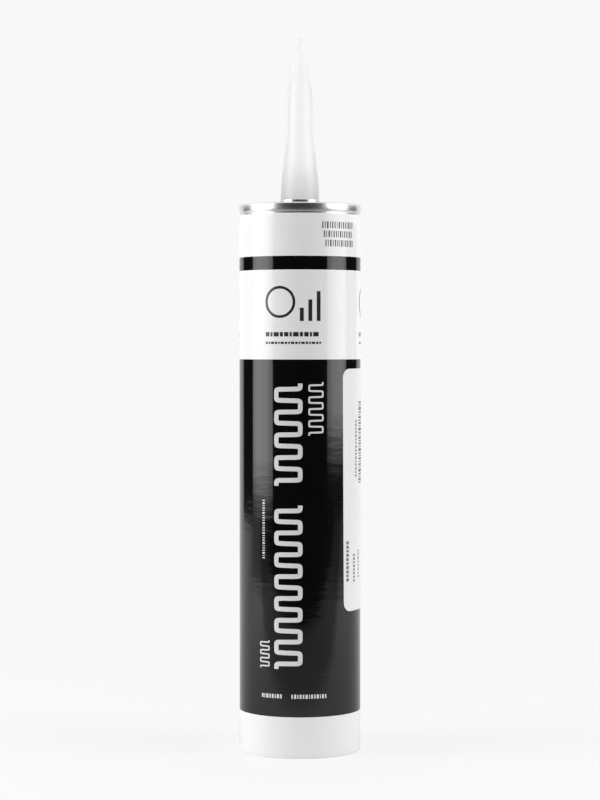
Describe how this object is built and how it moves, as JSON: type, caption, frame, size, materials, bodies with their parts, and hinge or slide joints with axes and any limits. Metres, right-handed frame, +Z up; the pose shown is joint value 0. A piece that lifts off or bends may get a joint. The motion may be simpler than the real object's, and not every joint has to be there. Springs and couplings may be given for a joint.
{
  "type": "sealant cartridge",
  "caption": "Sealant cartridge: paperboard tube with a seamed metal end, a crimped tapered nozzle and a plunger that slides up the bore.",
  "frame": {"origin": "centre of the open end's cut edge, on the surface that the cartridge stands on", "axes": "+Z up the barrel towards the nozzle's tip, -Y towards the front of the printed label, +X to the viewer's right, where the data sticker lies"},
  "size_m": [0.051, 0.051, 0.2974],
  "materials": {
    "wrap": "gloss-coated white paperboard",
    "dark_print": "gloss-coated black print",
    "sticker": "satin white paper",
    "tinplate": "bright tinplate",
    "nozzle": "translucent natural moulding",
    "foil": "bright foil",
    "sealant": "wet red-brown paste",
    "plunger": "natural white moulding"
  },
  "bodies": {
    "cartridge": {"paper_tube": "wrap", "label_field": "dark_print", "label_band": "dark_print", "data_sticker": "sticker", "metal_end": "tinplate", "nozzle": "nozzle", "seal_membrane": "foil", "sealant": "sealant"},
    "plunger": {"plunger": "plunger"}
  },
  "joints": [
    {"name": "plunger_slide", "type": "slide", "parent": "cartridge", "child": "plunger", "axis": [0, 0, 1], "range_m": [0, 0.162], "deforming": ["sealant"]}
  ]
}
